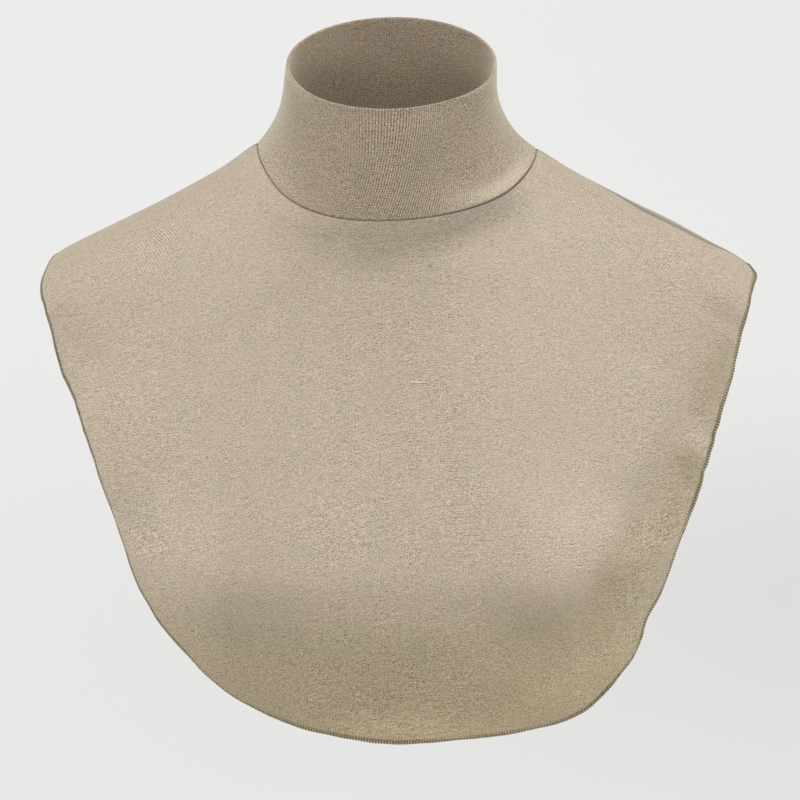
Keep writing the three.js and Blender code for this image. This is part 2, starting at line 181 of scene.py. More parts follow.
def left_right_curve(table, across):
    """Values at places across, from a table with the columns across, left and right."""
    values = curve_across(column(table, 0), column(table, 2), column(table, 1), np.ravel(across))
    return values.reshape(np.shape(across))


def body_point(across, along):
    """Points of the worn shape, in millimetres."""
    across = np.asarray(across, float)
    along = np.asarray(along, float)
    ridge = left_right_curve(RIDGE, across)
    behind = [curve_across(BODY_COLUMNS, row[3:], row[3:], across) for row in BODY]
    height = [row[1] + row[2] * ridge for row in BODY]
    depth = smooth_curve(column(BODY, 0), behind, along)
    return np.stack([across, depth, smooth_curve(column(BODY, 0), height, along)], -1)


def unit(vectors):
    return vectors / np.maximum(np.linalg.norm(vectors, axis=-1, keepdims=True), 1e-12)


def body_normal(across, along):
    side = body_point(across + 0.5, along) - body_point(across - 0.5, along)
    down = body_point(across, along + 0.5) - body_point(across, along - 0.5)
    return -unit(np.cross(side, down))


def bell(value, middle, reach):
    """1 in the middle, and falling softly to 0 on both sides of it."""
    return np.exp(-(((value - middle) / reach) ** 2))


def soft_step(value, middle, width):
    """A soft step from 0 below the middle to 1 above it."""
    return 1 / (1 + np.exp(-(value - middle) / width))


def soft_patches(first, second, table):
    """Soft patches added up. Each row has the middle both ways, the reach both ways and the amount."""
    total = 0
    for first_middle, second_middle, first_reach, second_reach, amount in table:
        patch = bell(first, first_middle, first_reach) * bell(second, second_middle, second_reach)
        total = total + amount * patch
    return total


def fold_height(across, along, folds):
    """How far soft folds lift or sink the cloth."""
    total = np.zeros_like(across)
    for x0, s0, x1, s1, x2, s2, width, height in folds:
        nearest = np.full_like(across, 1e9)
        for i in range(FOLD_STEPS + 1):
            t = i / FOLD_STEPS
            x = (1 - t) ** 2 * x0 + 2 * t * (1 - t) * x1 + t * t * x2
            s = (1 - t) ** 2 * s0 + 2 * t * (1 - t) * s1 + t * t * s2
            nearest = np.minimum(nearest, np.hypot(across - x, along - s))
        total += height * bell(nearest, 0, width)
    return total


def seam_along(across):
    """Where the shoulder seam lies, as a length along the cloth."""
    return left_right_curve(SEAM_LINE, across)


def seam_shift(across, along):
    """How far the cloth is drawn forward or back with the shoulder seam."""
    return seam_along(across) * np.maximum(1 - (along / SEAM_REACH) ** 2, 0) ** 2


def neckline(turn, side):
    """across and along of the neckline. turn runs from -1 at the left shoulder over 0 to 1 at the right."""
    angle = np.asarray(turn, float) * math.pi / 2
    drop = NECK_FRONT_DROP if side == "front" else -NECK_BACK_DROP
    shift = NECK_FRONT_SHIFT if side == "front" else 0
    across = NECK_HALF_WIDTH * np.sin(angle) + shift * np.cos(angle) ** 2
    return across, drop * np.maximum(np.cos(angle), 0) ** NECK_ROUNDNESS


def hem(turn, side):
    """across and along of the outer edge."""
    turn = np.asarray(turn, float)
    share = 1 - np.abs(turn)
    if side == "front":
        left = [smooth_curve(column(FRONT_HEM, 0), column(FRONT_HEM, i), share) for i in (1, 2)]
        right = [smooth_curve(column(FRONT_HEM, 0), column(FRONT_HEM, i), share) for i in (3, 4)]
        return np.where(turn < 0, left[0], right[0]), np.where(turn < 0, left[1], right[1])
    tip = np.where(turn < 0, FRONT_HEM[0][1], FRONT_HEM[0][3])
    angle = share**BACK_HEM_EVENNESS * math.pi / 2
    power = 2 / BACK_HEM_SQUARENESS
    return tip * np.maximum(np.cos(angle), 0) ** power, -BACK_HEM_DROP * np.sin(angle) ** power


# The stops down the bib: close together where the cloth rolls into the neckline seam and into the hem
NECK_STOPS = [0.12, 0.3, 0.5, 0.75, 1.05, 1.45, 2.0, 2.8, 3.9, 5.4]
HEM_STOPS = [5.4, 3.6, 2.2, 1.2, 0.5]
SEAM_DIP = 0.95
SEAM_DIP_WIDTH = 0.45
# Half the gap between the front and the back bib along the shoulder seam
SHOULDER_GAP = 0.12
CLOTH_THICKNESS = 0.9


def bib_places(turns, rows, side):
    """A grid of across and along, and of the distances from the neckline and from the hem."""
    neck_x, neck_s = neckline(turns, side)
    hem_x, hem_s = hem(turns, side)
    length = np.hypot(hem_x - neck_x, hem_s - neck_s)
    middle = np.linspace(0, 1, rows + 2)[1:-1]
    first = NECK_STOPS[-1]
    last = length - HEM_STOPS[0]
    far = [np.full_like(length, stop) for stop in NECK_STOPS]
    far += [first + (last - first) * share for share in middle]
    far += [length - stop for stop in HEM_STOPS]
    far = np.stack(far, 1)
    t = far / length[:, None]
    across = neck_x[:, None] + (hem_x - neck_x)[:, None] * t
    along = neck_s[:, None] + (hem_s - neck_s)[:, None] * t
    sign = 1 if side == "front" else -1
    along = sign * np.maximum(sign * along, SHOULDER_GAP)
    return across, along + seam_shift(across, along), far, length[:, None] - far


def grid_normals(points):
    """Outward normals of a grid of points, from its own rows and columns."""
    return unit(np.cross(np.gradient(points, axis=1), np.gradient(points, axis=0)))


def edge_roll(distance):
    """How deep the cloth dips into a seam at a distance from it."""
    return SEAM_DIP * bell(distance, 0, SEAM_DIP_WIDTH)


# Small creases that only the finished cloth shows, in the same form as the folds above
FRONT_CREASES = [
    (181, 146, 176, 152, 171, 158, 2.6, -0.9),
    (168, 186, 162, 194, 157, 203, 3.0, -0.7),
    (-186, 64, -178, 82, -168, 104, 7, -1.1),
    (140, 262, 128, 276, 118, 286, 5, 0.7),
    (131, 296, 122, 306, 110, 316, 5, 0.8),
    (122, 286, 112, 298, 100, 306, 5, -0.6),
    (-60, 318, -40, 312, -18, 314, 9, -0.7),
    (58, 330, 72, 318, 84, 312, 7, -0.8),
    (-150, 215, -140, 236, -122, 256, 10, -0.8),
    (-30, 100, -62, 86, -92, 50, 9, -0.5),
    (-34, 106, 16, 126, 76, 56, 12.5, -2.6),
    (156, 188, 150, 215, 130, 242, 9, -1.5),
    (92, 238, 90, 254, 84, 270, 14, 1.3),
    (124, 232, 122, 248, 112, 262, 9, -1.0),
]


def resting_cloth(across, along):
    """The slight unevenness of cloth that lies over a body."""
    wave = 0.10 * np.sin(across / 9.1 + 1.3 * np.sin(along / 31))
    wave += 0.12 * np.sin(along / 12.3 + 1.7 * np.sin(across / 43) + 0.8)
    wave += 0.16 * np.sin(across / 23.7 - along / 37.1 + 2.1)
    return wave


def hem_ripple(turns, from_hem, side):
    """The fine waves that the overlock leaves in the edge. They die out over the shoulder tips."""
    fine = np.linspace(-1, 1, 2001)
    x, s = hem(fine, side)
    run = np.concatenate([[0], np.cumsum(np.hypot(np.diff(x), np.diff(s)))])
    run = np.interp(turns, fine, run)[:, None]
    wave = 0.16 * np.sin(run / 3.1 + 1.2 * np.sin(run / 23)) + 0.26 * np.sin(run / 7.9 + 0.6)
    fade = np.clip((1 - np.abs(turns)) / 0.04, 0, 1)[:, None]
    return wave * fade * np.exp(-from_hem / 7)


# Where the cloth hangs slack between the shoulder and the bust, in the same form as the folds. The colour is
# deeper there, partly as slack cloth and partly as painted shade in the fold.
SLACK_CHANNEL = [
    (160, 184, 160, 222, 120, 262, 13, 1.0),
    (181, 86, 172, 118, 168, 142, 9, 0.65),
    (66, 284, 92, 280, 106, 288, 10, 0.3),
]


# How far from the ridge the unevenness of the cloth has its full height, and how far from the neckline and
# from the hem the folds and the shoulder seam have theirs
PAST_RIDGE = 30
PAST_NECKLINE = 12
PAST_HEM = 3
BUST_LINE = 283


def taut_share(across, along, from_neck, slack_channel, side):
    """How far the jersey is drawn open: 1 where it is taut over the body, 0 where it hangs slack, and a
    little below 0 in the middle under the bust, where its colour is deepest."""
    if side == "back":
        return 0.7 + 0.2 * np.cos(across / 90)
    bust_line = BUST_LINE - 4 * (across / 95) ** 2 + 8 * bell(across, -130, 35)
    slack_below = soft_step(along, bust_line, 10)
    deepest = 1 + 0.25 * bell(across, 20, 55) * bell(along, 325, 25)
    throat = bell(from_neck, 0, 45) * bell(across, -12, 70) * (along > PAST_RIDGE)
    # The slack channel deepens the colour, partly as painted shade in the fold.
    taut = 1 - 0.92 * deepest * slack_below - 0.2 * throat - 0.85 * slack_channel
    return np.clip(taut, -0.25, 1)


def closer_at_tips(even):
    """Even turns from one shoulder to the other, drawn closer together towards the shoulder tips."""
    return (even + np.sin(even * math.pi / 2)) / 2


def bib_grid(side, columns, rows):
    """The outer face of a bib, where its points lie on the flat jersey, and how the jersey looks there."""
    turns = closer_at_tips(np.linspace(-1, 1, columns))
    across, along, from_neck, from_hem = bib_places(turns, rows, side)
    from_ridge = along if side == "front" else -along
    ridge_fade = np.clip(from_ridge / PAST_RIDGE, 0, 1)
    lift = resting_cloth(across, along) * ridge_fade
    if side == "front":
        lift += fold_height(across, along, FRONT_FOLDS) * (along > 0)
        lift += fold_height(across, along, FRONT_CREASES) * ridge_fade
    lift = lift * np.clip(from_neck / PAST_NECKLINE, 0, 1)
    lift += hem_ripple(turns, from_hem, side) - edge_roll(from_neck)
    from_seam = np.abs(along - seam_along(across))
    lift -= edge_roll(from_seam) * np.clip(from_hem / PAST_HEM, 0, 1)
    flat_x = across.ravel()
    flat_s = along.ravel()
    points = body_point(flat_x, flat_s) + body_normal(flat_x, flat_s) * lift.reshape(-1, 1)
    slack_channel = fold_height(across, along, SLACK_CHANNEL)
    looks = {
        "taut": taut_share(across, along, from_neck, slack_channel, side),
        "columns": column_share(across, along),
        "painted_shade": painted_cloth_shade(across, along, from_neck, from_seam, slack_channel, side),
        "grain": grain_share(across, along, from_hem),
    }
    return points.reshape(across.shape + (3,)), cloth_places(across, along), looks


# Painted shade in the hollows beside the neckline: across and distance from the neckline of the middle, the
# reach both ways, and how dark
NECK_HOLLOW_SHADE = [
    (10, 0, 58, 20, 0.25),
    (47, 0, 19, 9, 0.34),
    (-8, 0, 40, 5, 0.15),
    (22, 16, 20, 7, 0.2),
    (-30, 19, 30, 12, 0.24),
]

# Painted highlights on the front, a little paler than the cloth round it, and painted shade where the amount
# is
# below 0: across and along of the middle, how far it reaches each way, and how much
PAINTED_LIGHT_AND_SHADE = [
    (52, 138, 32, 42, 0.15),
    (80, 224, 26, 30, 0.18),
    (-162, 134, 34, 44, 0.18),
    (-45, 271, 80, 13, 0.1),
    (25, 280, 45, 13, 0.16),
    (-118, 246, 26, 34, 0.15),
    (-90, 286, 16, 16, -0.09),
    (90, 255, 16, 15, 0.2),
    (86, 321, 33, 18, 0.33),
    (16, 346, 48, 10, 0.42),
    (-3, 330, 14, 10, -0.11),
    (118, 228, 14, 16, 0.14),
    (135, 50, 40, 20, -0.07),
    (122, 292, 15, 17, 0.14),
    (-28, 101, 14, 7, 0.16),
    (-10, 116, 46, 8, -0.12),
    (120, 201, 15, 12, -0.13),
    (-15, 232, 80, 28, 0.06),
    (-148, 226, 16, 18, -0.11),
    (60, 64, 12, 16, -0.13),
]


def painted_cloth_shade(across, along, from_neck, from_seam, slack_channel, side):
    """How dark the cloth is painted, as painted shade: dark in the seams, the hollows and the slack channel,
    and paler or darker at the places above, where paler is a painted highlight."""
    # Painted shade: a dark line in the neckline seam, darker on the right, and in the shoulder seam. On the
    # back there is also a broad painted shade beside the shoulder seam.
    shade = (0.3 + 0.45 * soft_step(across, 30, 10)) * bell(from_neck, 0, 0.5) + bell(from_seam, 0, 1.6)
    if side == "back":
        return np.clip(shade + 0.4 * bell(from_seam, 0, 12), 0, 1)
    shade += soft_patches(across, from_neck, NECK_HOLLOW_SHADE) * (along > PAST_RIDGE)
    # Painted shade over the outer shoulder tops and in the slack channel, and painted highlights and shade
    # at the places in the table.
    shade += 0.08 * bell(along, 20, 22) * np.clip((np.abs(across) - 70) / 20, 0, 1)
    shade += 0.2 * slack_channel - soft_patches(across, along, PAINTED_LIGHT_AND_SHADE)
    return np.clip(shade, -0.5, 1)


def grain_share(across, along, from_hem):
    """How plainly the grain shows: more under the bust, and less where the cloth is drawn smooth over the
    shoulders and along the hem."""
    over_shoulder = bell(along, 0, 14) * np.clip((np.abs(across) - 80) / 40, 0, 1)
    return 1 + 0.3 * soft_step(along, 290, 8) - 0.55 * over_shoulder - 0.35 * bell(from_hem, 0, 6)


# How much steeper than level the rows of stitches lie on the left half, and how far the columns lean in
ROW_TILT = 0.27
ROW_TILT_REACH = 30
COLUMN_SHIFT = 0.88
COLUMN_SHIFT_REACH = 70


def cloth_places(across, along):
    """Where each point lies on the jersey before it is worn. On the body its rows of stitches lie level
    over the chest and climb a little on the left half, and its columns lean in below the shoulders."""
    follow = smooth_curve(column(BODY, 0), column(BODY, 2), along.ravel()).reshape(along.shape)
    level = along - follow * (left_right_curve(RIDGE, across) - RIDGE[0][1])
    level = level - ROW_TILT * ROW_TILT_REACH * np.log1p(np.exp(-across / ROW_TILT_REACH))
    outer_part = np.clip((np.abs(across) - 40) / 85, 0, 1)
    outer_part = outer_part**2 * (3 - 2 * outer_part)
    drawn_in = COLUMN_SHIFT * COLUMN_SHIFT_REACH * (1 - np.exp(-np.abs(along) / COLUMN_SHIFT_REACH))
    return np.stack([across + np.sign(across) * outer_part * drawn_in, -level], -1)


def column_share(across, along):
    """How plainly the columns of stitches show: most over the shoulders, where they are pulled apart."""
    over_shoulder = np.clip((np.abs(across) - 60) / 40, 0, 1) * bell(along, 38, 28)
    return 0.15 + 0.85 * over_shoulder * np.clip((178 - np.abs(across)) / 40, 0.1, 1)


def point_value(mesh, name, values):
    """A value for each point of a mesh, which a material can read."""
    attribute = mesh.attributes.new(name, "FLOAT", "POINT")
    attribute.data.foreach_set("value", values)


def new_mesh(name, points, faces):
    """A smooth mesh from points in millimetres."""
    mesh = bpy.data.meshes.new(name)
    mesh.from_pydata((points * MM).tolist(), [], faces)
    mesh.update()
    mesh.polygons.foreach_set("use_smooth", np.ones(len(faces), bool))
    return mesh


def in_scene(name, data):
    """A mesh, a light or a camera as an object of the scene."""
    made = bpy.data.objects.new(name, data)
    bpy.context.scene.collection.objects.link(made)
    return made


def cloth_wall(name, outer, uv, looks):
    """A piece of cloth with both its faces and its edges, from the grid of its outer face.
    The face of the cloth takes the first material and the wrong side takes the second."""
    columns, rows = outer.shape[:2]
    normals = grid_normals(outer)
    if normals.reshape(-1, 3).mean(0) @ (outer.reshape(-1, 3).mean(0) - np.array([0, 0, -150])) < 0:
        normals = -normals
    inner = outer - normals * CLOTH_THICKNESS
    points = np.concatenate([outer.reshape(-1, 3), inner.reshape(-1, 3)])
    count = columns * rows
    c, r = np.meshgrid(np.arange(columns - 1), np.arange(rows - 1), indexing="ij")
    a = (c * rows + r).ravel()
    top = np.stack([a, a + 1, a + rows + 1, a + rows], 1)
    facing = np.cross(points[top[:, 1]] - points[top[:, 0]], points[top[:, 3]] - points[top[:, 0]])
    if (facing * normals.reshape(-1, 3)[top[:, 0]]).sum() < 0:
        top = top[:, ::-1]
    bottom = top[:, ::-1] + count
    edges = []
    ring = [i * rows for i in range(columns)]
    ring += [(columns - 1) * rows + i for i in range(1, rows)]
    ring += [i * rows + rows - 1 for i in range(columns - 2, -1, -1)]
    ring += [i for i in range(rows - 2, 0, -1)]
    for i, here in enumerate(ring):
        beside = ring[(i + 1) % len(ring)]
        edges.append((here, beside, beside + count, here + count))
    edges = np.array(edges)
    first = points[edges[0]]
    away = np.cross(first[1] - first[0], first[3] - first[0])
    if away @ (first.mean(0) - points[ring[len(ring) // 2]]) < 0:
        edges = edges[:, ::-1]
    faces = np.concatenate([top, bottom, edges])
    mesh = new_mesh(name, points, faces.tolist())
    loops = np.zeros(len(mesh.loops), int)
    mesh.loops.foreach_get("vertex_index", loops)
    flat = np.tile(uv.reshape(-1, 2) * MM, (2, 1))
    mesh.uv_layers.new(name="cloth").data.foreach_set("uv", flat[loops].ravel())
    for look, values in looks.items():
        point_value(mesh, look, np.tile(values.ravel(), 2))
    slots = np.zeros(len(faces), int)
    slots[len(top):] = 1
    mesh.polygons.foreach_set("material_index", slots)
    return in_scene(name, mesh)


def new_finish(name):
    """A material, with its tree of nodes and its shader."""
    finish = bpy.data.materials.new(name)
    finish.use_nodes = True
    return finish, finish.node_tree, finish.node_tree.nodes["Principled BSDF"]


def mesh_value(tree, name):
    """A value that the mesh carries at its points."""
    node = tree.nodes.new("ShaderNodeAttribute")
    node.attribute_name = name
    return node.outputs["Fac"]


def link(tree, start, end):
    tree.links.new(start, end)


def maths(tree, operation, a, b=None, c=None):
    """One step of arithmetic in a material."""
    node = tree.nodes.new("ShaderNodeMath")
    node.operation = operation
    for socket, value in zip(node.inputs, (a, b, c)):
        if isinstance(value, (int, float)):
            socket.default_value = value
        elif value is not None:
            link(tree, value, socket)
    return node.outputs[0]


def cloth_noise(tree, across, down, per_mm_across, per_mm_down, detail, rough=0.5):
    """Noise on the cloth itself, drawn out along the courses or the wales. About 0 on average."""
    place = tree.nodes.new("ShaderNodeCombineXYZ")
    link(tree, maths(tree, "MULTIPLY", across, per_mm_across), place.inputs[0])
    link(tree, maths(tree, "MULTIPLY", down, per_mm_down), place.inputs[1])
    noise = tree.nodes.new("ShaderNodeTexNoise")
    noise.noise_dimensions = "2D"
    noise.inputs["Scale"].default_value = 1.0
    noise.inputs["Detail"].default_value = detail
    noise.inputs["Roughness"].default_value = rough
    link(tree, place.outputs[0], noise.inputs["Vector"])
    return maths(tree, "SUBTRACT", noise.outputs[0], 0.5)


def jersey(
    name, slack, taut, contrast, grain, lines, rib, stitch, drawn_wales,
    wale=1.45, mottle=0.1, wander=2.2, wrong_side=False, sheen=0.35,
):
    """Fine single jersey: columns of small V stitches on the face, rows of loops on the wrong side,
    uneven yarn with slubs along the rows, and a grain of lighter and darker fibres. Its colour goes from
    slack to taut, and how it is drawn and grained, and its painted shade and painted highlights, are read
    from the mesh."""
    finish, tree, shader = new_finish(name)
    uv = tree.nodes.new("ShaderNodeUVMap")
    uv.uv_map = "cloth"
    split = tree.nodes.new("ShaderNodeSeparateXYZ")
    link(tree, uv.outputs[0], split.inputs[0])
    across = maths(tree, "MULTIPLY", split.outputs[0], 1 / MM)
    down = maths(tree, "MULTIPLY", split.outputs[1], 1 / MM)
    wandering = cloth_noise(tree, across, down, 0.11, 0.07, 2)
    across_w = maths(tree, "MULTIPLY_ADD", wandering, wander, across)
    down_w = maths(tree, "MULTIPLY_ADD", wandering, 1.3, down)
    column_at = maths(tree, "DIVIDE", across_w, wale)
    row_at = maths(tree, "DIVIDE", down_w, COURSE)
    from_edge = maths(tree, "PINGPONG", column_at, 0.5)
    ribbed = maths(tree, "SINE", maths(tree, "MULTIPLY", from_edge, math.pi))
    leaning = maths(tree, "ADD", row_at, from_edge)
    stitched = maths(tree, "SINE", maths(tree, "MULTIPLY", leaning, 2 * math.pi))
    rows = maths(tree, "SINE", maths(tree, "MULTIPLY", row_at, 2 * math.pi))
    open_columns = mesh_value(tree, "columns")
    rib_height = maths(tree, "MULTIPLY", open_columns, rib * (0.25 if wrong_side else 1.0))
    height = maths(tree, "MULTIPLY", maths(tree, "SUBTRACT", ribbed, 0.64), rib_height)
    height = maths(tree, "MULTIPLY_ADD", rows if wrong_side else stitched, stitch, height)
    speckle = cloth_noise(tree, across, down, 1.35, 1.4, 1.0, 0.6)
    yarn = cloth_noise(tree, across, down_w, 0.31, 1.65, 1.0)
    uneven = cloth_noise(tree, across, down_w, 0.08, 0.62, 2.0, 0.6)
    mottled = cloth_noise(tree, across, down, 0.5, 0.45, 1.5)
    patches = cloth_noise(tree, across, down, 0.045, 0.055, 2)
    worn = cloth_noise(tree, across, down, 0.06, 0.075, 1.5)
    pulled = maths(tree, "SINE", maths(tree, "MULTIPLY", across_w, 2 * math.pi / DRAWN_WALE))
    pulled = maths(tree, "MULTIPLY", pulled, drawn_wales)
    slub = cloth_noise(tree, across, down_w, 0.13, 0.95, 0.0)
    slub = maths(tree, "MAXIMUM", maths(tree, "SUBTRACT", slub, 0.33), 0.0)
    amount = maths(tree, "MULTIPLY", maths(tree, "MULTIPLY_ADD", worn, 0.9, 1.0), mesh_value(tree, "grain"))
    tone = maths(tree, "MULTIPLY", speckle, grain)
    tone = maths(tree, "MULTIPLY_ADD", yarn, lines, tone)
    tone = maths(tree, "MULTIPLY_ADD", uneven, lines * 0.5, tone)
    tone = maths(tree, "MULTIPLY_ADD", mottled, mottle, tone)
    tone = maths(tree, "ADD", maths(tree, "MULTIPLY", tone, amount), height)
    tone = maths(tree, "MULTIPLY_ADD", pulled, open_columns, tone)
    tone = maths(tree, "MULTIPLY_ADD", slub, 0.9, tone)
    tone = maths(tree, "MULTIPLY_ADD", patches, 0.04, tone)
    drawn = mesh_value(tree, "taut")
    mix = tree.nodes.new("ShaderNodeMix")
    mix.data_type = "RGBA"
    link(tree, drawn, mix.inputs[0])
    mix.inputs[6].default_value = (*slack, 1)
    mix.inputs[7].default_value = (*taut, 1)
    depth = maths(tree, "MULTIPLY_ADD", drawn, -0.3 * contrast, 2.3 * contrast)
    shade = maths(tree, "MULTIPLY_ADD", tone, depth, 1.0)
    shade = maths(tree, "MAXIMUM", shade, 0.15)
    # Painted shade from the mesh darkens the colour. Below 0 it is a painted highlight.
    painted_shade_factor = maths(tree, "MULTIPLY_ADD", mesh_value(tree, "painted_shade"), -0.62, 1.0)
    shade = maths(tree, "MULTIPLY", shade, painted_shade_factor)
    dyed = cloth_noise(tree, across, down, 0.16, 0.2, 2.5)
    rosy = cloth_noise(tree, across, down, 0.04, 0.055, 1.5)
    tint = tree.nodes.new("ShaderNodeCombineXYZ")
    redder = maths(tree, "MULTIPLY_ADD", rosy, 0.05, 1.0)
    link(tree, maths(tree, "MULTIPLY_ADD", dyed, 0.035, redder), tint.inputs[0])
    link(tree, maths(tree, "MULTIPLY_ADD", rosy, -0.025, 1.0), tint.inputs[1])
    bluer = maths(tree, "MULTIPLY_ADD", rosy, 0.045, 1.0)
    link(tree, maths(tree, "MULTIPLY_ADD", dyed, 0.05, bluer), tint.inputs[2])
    tinted = tree.nodes.new("ShaderNodeVectorMath")
    tinted.operation = "MULTIPLY"
    link(tree, mix.outputs[2], tinted.inputs[0])
    link(tree, tint.outputs[0], tinted.inputs[1])
    grained = tree.nodes.new("ShaderNodeVectorMath")
    grained.operation = "SCALE"
    link(tree, tinted.outputs[0], grained.inputs[0])
    link(tree, shade, grained.inputs["Scale"])
    link(tree, grained.outputs[0], shader.inputs["Base Color"])
    bump = tree.nodes.new("ShaderNodeBump")
    bump.inputs["Strength"].default_value = 0.6
    bump.inputs["Distance"].default_value = 0.0003
    link(tree, tone, bump.inputs["Height"])
    link(tree, bump.outputs[0], shader.inputs["Normal"])
    shader.inputs["Roughness"].default_value = 0.66
    shader.inputs["Specular IOR Level"].default_value = 1.0
    shader.inputs["Sheen Weight"].default_value = sheen
    shader.inputs["Sheen Roughness"].default_value = 0.3
    shader.inputs["Sheen Tint"].default_value = (1.0, 0.93, 0.77, 1)
    return finish


# From row to row of the stitches, and from column to column where they are pulled apart
COURSE = 1.15
DRAWN_WALE = 1.42
bib_face = jersey(
    "bib_jersey_face", (0.408, 0.321, 0.192), (0.462, 0.374, 0.275), contrast=0.8,
    grain=0.9, lines=0.41, rib=0.1, stitch=0.06, drawn_wales=0.1, mottle=0.18,
)
bib_wrong = jersey(
    "bib_jersey_wrong_side", (0.36, 0.28, 0.186), (0.4, 0.32, 0.23), contrast=0.6,
    grain=0.85, lines=0.5, rib=0.25, stitch=0.16, drawn_wales=0.05, wrong_side=True,
)



def cut_bib(name, side, columns, rows):
    """A bib of jersey, with its face outwards."""
    outer, places, looks = bib_grid(side, columns, rows)
    bib = cloth_wall(name, outer, places, looks)
    bib.data.materials.append(bib_face)
    bib.data.materials.append(bib_wrong)
    return bib


front_bib = cut_bib("front_bib", "front", columns=271, rows=118)
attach(front_bib, "root")
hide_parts("front_panel")


# Back bib.
# The same jersey cut shorter, hanging over the shoulder blades. The photo never shows it, so it has no
# folds of its own, only the fine unevenness of worn cloth.
back_bib = cut_bib("back_bib", "back", columns=231, rows=84)
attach(back_bib, "root")
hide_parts("back_panel")


# Neck band.
# A strip of the same jersey folded double along its top edge, so it stands up softly round the neck.
# Its foot is eased out to the wider neckline, which stretches the columns of stitches apart.
RIM_HALF_WIDTH = 58
RIM_HALF_DEPTH = 55
RIM_BEHIND = -14
RIM_HEIGHT = 48
RIM_ACROSS = -3.5
RIM_FORWARD_TILT = math.radians(20)
RIM_SIDE_TILT = math.radians(-1)

# angle round from the front, and how far the soft rim wanders out from its oval there
RIM_WANDER = [
    (-180, 0),
    (-120, -0.5),
    (-85, -1.4),
    (-65, -1.8),
    (-40, -0.3),
    (0, 0),
    (25, -1.8),
    (42, 0.6),
    (60, 1.4),
    (85, 0),
    (180, 0),
]
WANDER_RISE = 5
FLARE_LEFT = 2.6
FLARE_RIGHT = 3.2
BAND_THICKNESS = 1.9
BAND_LAYER = 0.8
BAND_ROWS = 40
BAND_COLUMNS = 420
RIM_ROUNDING = 9
# The hidden faces of the fold keep this many close rows at the foot, and then one row in four
CLOSE_ROWS = 8
SPARSE_STEP = 4

# The soft rolls of the band: angle from the front and distance from the foot of the middle, the reach
# both ways, and the height
BAND_ROLLS = [
    (56, 4, 25, 4.4, 1.9),
    (50, 15, 26, 5, -1.1),
]


def round_both(quarter, line):
    """across and along of a line that runs round both bibs. quarter is 0 in front, 1 or -1 at a shoulder
    and 2 or -2 at the back."""
    in_front = np.abs(quarter) <= 1
    turn = np.where(in_front, quarter, np.sign(quarter) * (2 - np.abs(quarter)))
    return [np.where(in_front, front, back) for front, back in zip(line(turn, "front"), line(turn, "back"))]


def band_point(around, up):
    """Points of the band's outer face. around is 0 in front, and up is 0 at the foot and 1 at the rim."""
    from_front = np.arctan2(np.sin(around), np.cos(around))
    foot = body_point(*round_both(from_front / (math.pi / 2), neckline))
    rim_x = RIM_ACROSS + RIM_HALF_WIDTH * np.sin(around)
    rim_y = RIM_BEHIND - RIM_HALF_DEPTH * np.cos(around)
    rim_z = RIM_HEIGHT + (rim_y - RIM_BEHIND) * math.tan(RIM_FORWARD_TILT)
    rim_z = rim_z - (rim_x - RIM_ACROSS) * math.tan(RIM_SIDE_TILT)
    flare = FLARE_LEFT + (FLARE_RIGHT - FLARE_LEFT) * (1 + np.sin(around)) / 2
    inward = 1 - np.maximum(1 - up, 0) ** flare
    wander = smooth_curve(column(RIM_WANDER, 0), column(RIM_WANDER, 1), np.degrees(from_front))
    wander = wander * up**WANDER_RISE
    return np.stack([
        foot[:, 0] + (rim_x - foot[:, 0]) * inward + wander * np.sin(around),
        foot[:, 1] + (rim_y - foot[:, 1]) * inward - wander * np.cos(around),
        foot[:, 2] + (rim_z - foot[:, 2]) * up,
    ], -1)


def band_folds(around, from_foot):
    """How far the band stands out: a roll over the seam at the right, and slack at the sides."""
    angle = np.degrees(np.arctan2(np.sin(around), np.cos(around)))
    slack = 0.35 * np.sin(from_foot / 6.5 + 2 * np.sin(around)) * np.sin(around * 2 + 0.6)
    return soft_patches(angle, from_foot, BAND_ROLLS) + slack * np.clip(from_foot / 10, 0, 1)


def band_grid():
    """The closed section of the folded band at each angle, from its foot over the rim and back inside."""
    around = np.linspace(0, 2 * math.pi, BAND_COLUMNS, endpoint=False)
    foot = band_point(around, np.zeros_like(around))
    height = np.linalg.norm(band_point(around, np.ones_like(around)) - foot, axis=1)
    shares = [stop / height for stop in NECK_STOPS]
    first = shares[-1]
    shares += [first + (1 - first) * (i + 1) / BAND_ROWS for i in range(BAND_ROWS)]
    up = np.stack(shares, 1)
    flat_around = np.repeat(around, up.shape[1])
    points = band_point(flat_around, up.ravel()).reshape(up.shape + (3,))
    closed = np.concatenate([points[-2:], points, points[:2]])
    normals = grid_normals(closed)[2:-2]
    outward = np.stack([np.sin(around), -np.cos(around), np.zeros_like(around)], -1)[:, None]
    normals = normals * np.sign((normals * outward).sum(-1).mean())
    from_foot = up * height[:, None]
    near_rim = np.clip((1 - up) / 0.15, 0, 1)
    lift = band_folds(around[:, None], from_foot) * near_rim - 0.4 * edge_roll(from_foot)
    outer = points + normals * lift[..., None]
    last = outer.shape[1] - 1
    sparse = [*range(CLOSE_ROWS), *range(CLOSE_ROWS, last, SPARSE_STEP), last]
    inside = outer - normals * BAND_THICKNESS
    inside_back = (outer - normals * (BAND_THICKNESS - BAND_LAYER))[:, sparse]
    outside_back = (outer - normals * BAND_LAYER)[:, sparse]
    rounded = rim_fold(outer, inside[:, -1], BAND_THICKNESS / 2, RIM_ROUNDING)
    tight = rim_fold(outer, inside[:, -1], BAND_THICKNESS / 2 - BAND_LAYER, 3)
    section = np.concatenate([
        outer, rounded, inside[:, ::-1], inside_back, tight[:, ::-1], outside_back[:, ::-1],
    ], 1)
    return around, section


